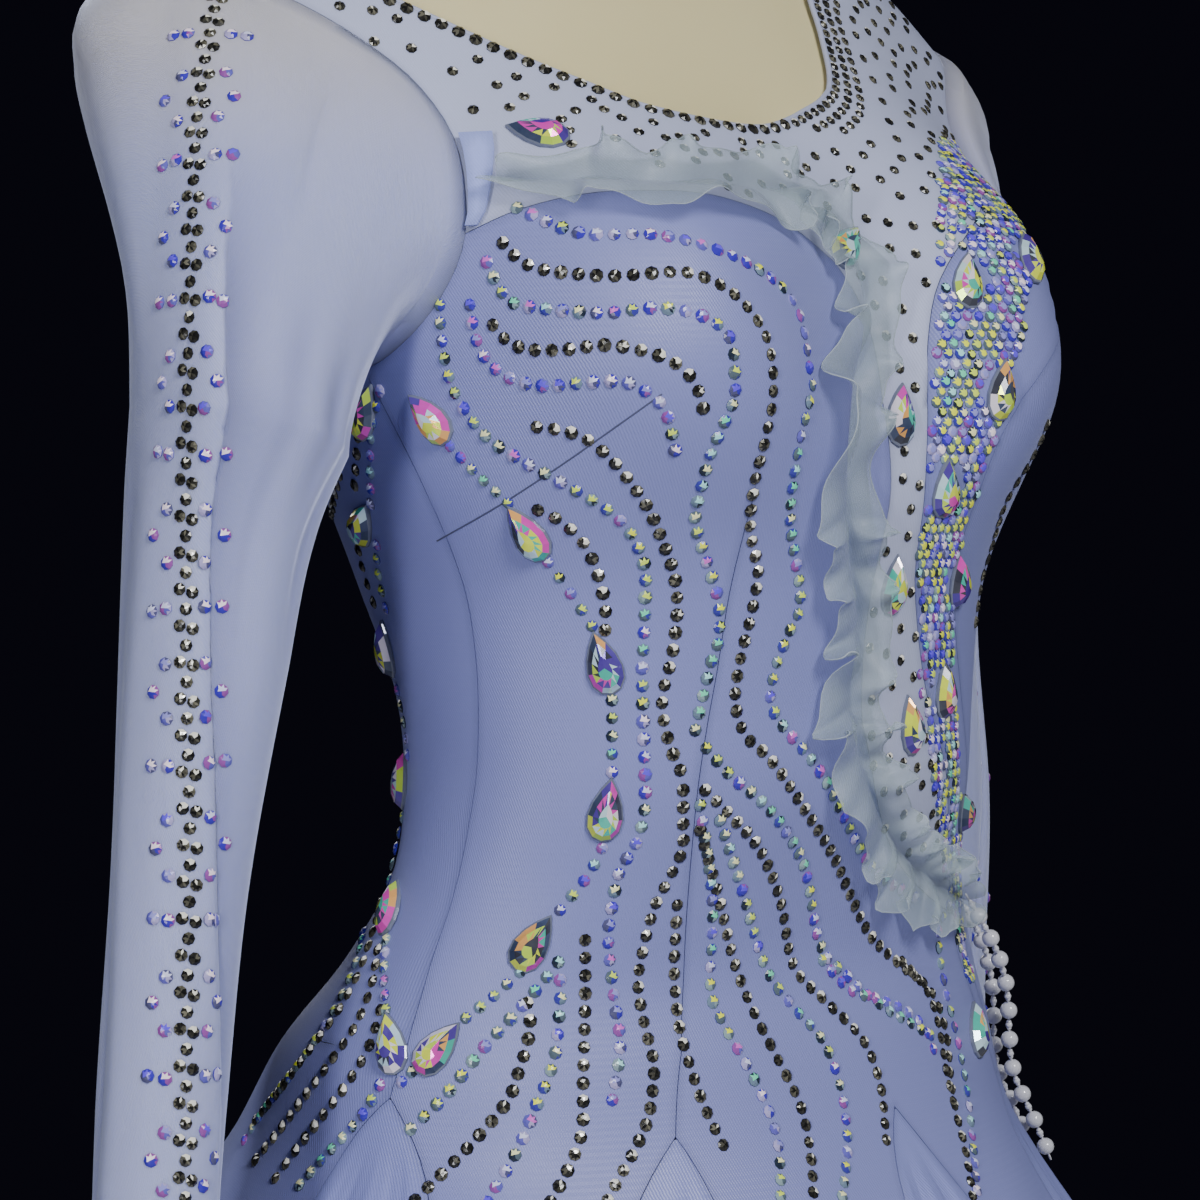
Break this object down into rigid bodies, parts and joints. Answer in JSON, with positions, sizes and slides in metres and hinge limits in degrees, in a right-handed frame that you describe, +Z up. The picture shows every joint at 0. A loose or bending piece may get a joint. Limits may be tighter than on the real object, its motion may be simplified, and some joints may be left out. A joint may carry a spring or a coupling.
{
  "type": "ballroom dance dress on a dress form",
  "caption": "Long-sleeved ballroom dress with a full gored skirt, pleated godets, mesh yoke, curved ruffle and stone trim, worn by a limbless dress form on a round stand.",
  "frame": {"origin": "centre of the stand base's underside, on the floor", "axes": "+Z up, the dress faces -Y, the wearer's right side is at -X"},
  "size_m": [1.0181, 1.0164, 1.5],
  "materials": {
    "satin": "stretch satin, periwinkle, soft sheen",
    "godet_satin": "pleated satin, periwinkle, slightly paler",
    "mesh": "stretch mesh over a skin-tone ground, grey lilac",
    "sleeve_mesh": "sheer stretch mesh, lilac",
    "tulle": "glitter tulle, grey green",
    "crystal": "cut stone with a mirror-coated back",
    "pearl": "pearl bead",
    "form": "cream jersey cover on a firm form",
    "stand": "light grey enamel"
  },
  "bodies": {
    "root": {"form_torso": "form", "stand_base": "stand", "stand_pole": "stand", "front_right": "satin", "front_left": "satin", "back_right": "satin", "back_left": "satin", "yoke_front": "mesh", "yoke_back": "mesh", "beaded_strip": "satin", "armhole_band": "satin", "sleeve_right": "sleeve_mesh", "sleeve_left": "sleeve_mesh", "ruffle": "tulle", "godet_side_right": "godet_satin", "godet_front_right": "godet_satin", "godet_front": "godet_satin", "godet_front_left": "godet_satin", "godet_side_left": "godet_satin", "godet_back_left": "godet_satin", "godet_back": "godet_satin", "godet_back_right": "godet_satin", "drops_side_right": "crystal", "drops_back_right": "crystal", "drops_strip": "crystal", "pearls_outer": "pearl", "pearls_inner": "pearl"}
  },
  "joints": []
}
